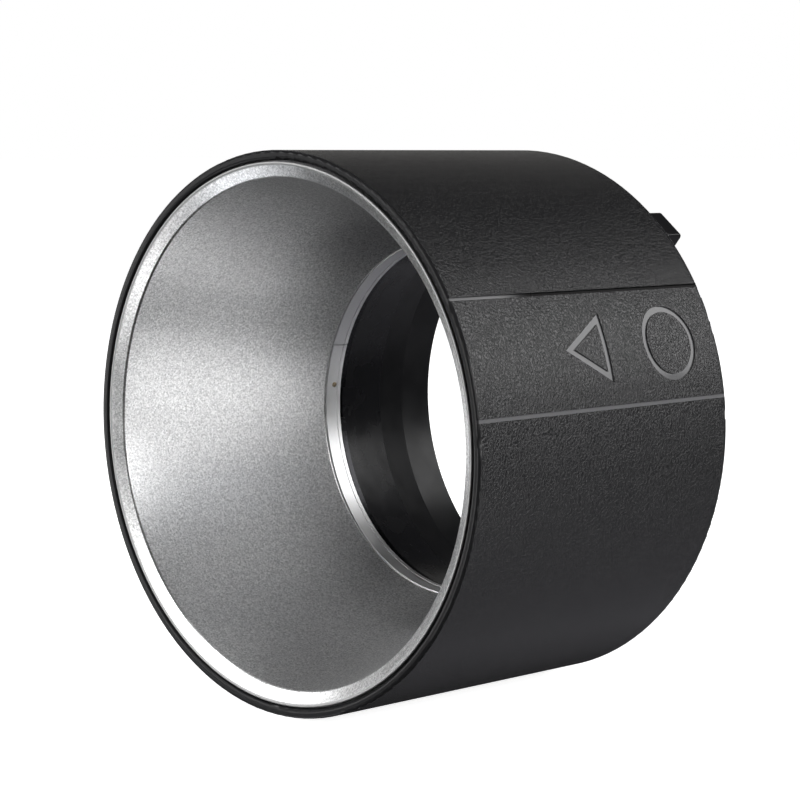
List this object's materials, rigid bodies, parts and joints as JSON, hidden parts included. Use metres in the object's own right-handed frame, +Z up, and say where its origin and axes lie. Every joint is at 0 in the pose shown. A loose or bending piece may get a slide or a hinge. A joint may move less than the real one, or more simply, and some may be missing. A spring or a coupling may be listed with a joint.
{
  "type": "flash head reflector hood",
  "caption": "Short cylindrical snoot-like reflector hood for a studio flash head: grained plastic shell, silver bowl inside, and a rear spigot with bayonet lugs.",
  "frame": {"origin": "centre of the rear seat face, on the optical axis", "axes": "+Y along the optical axis towards the lamp head, mouth towards -Y, +Z up, +X to the right when looking into the mouth"},
  "size_m": [0.13, 0.0984, 0.13],
  "materials": {
    "shell_plastic": "satin black with a fine moulded pebble grain",
    "bowl_silver": "satin silver with a fine sparkle",
    "polished_metal": "polished",
    "pin_brass": "plain",
    "silicone": "matte",
    "black_steel": "black oxide",
    "collar_gloss": "glossy black",
    "bayonet_black": "black anodised, semi-gloss",
    "plate_plastic": "satin black",
    "insert_brass": "turned",
    "seal_rubber": "matte"
  },
  "bodies": {
    "root": {"outer_shell": "shell_plastic", "reflector_bowl": "bowl_silver", "lip_gasket": "silicone", "throat_ring": "polished_metal", "throat_pins": "pin_brass", "throat_gasket": "silicone", "snap_ring": "black_steel", "throat_collar": "collar_gloss", "bayonet_ring": "bayonet_black", "rear_plate": "plate_plastic", "rear_screws": "black_steel", "threaded_inserts": "insert_brass", "light_seal": "seal_rubber"}
  },
  "joints": []
}
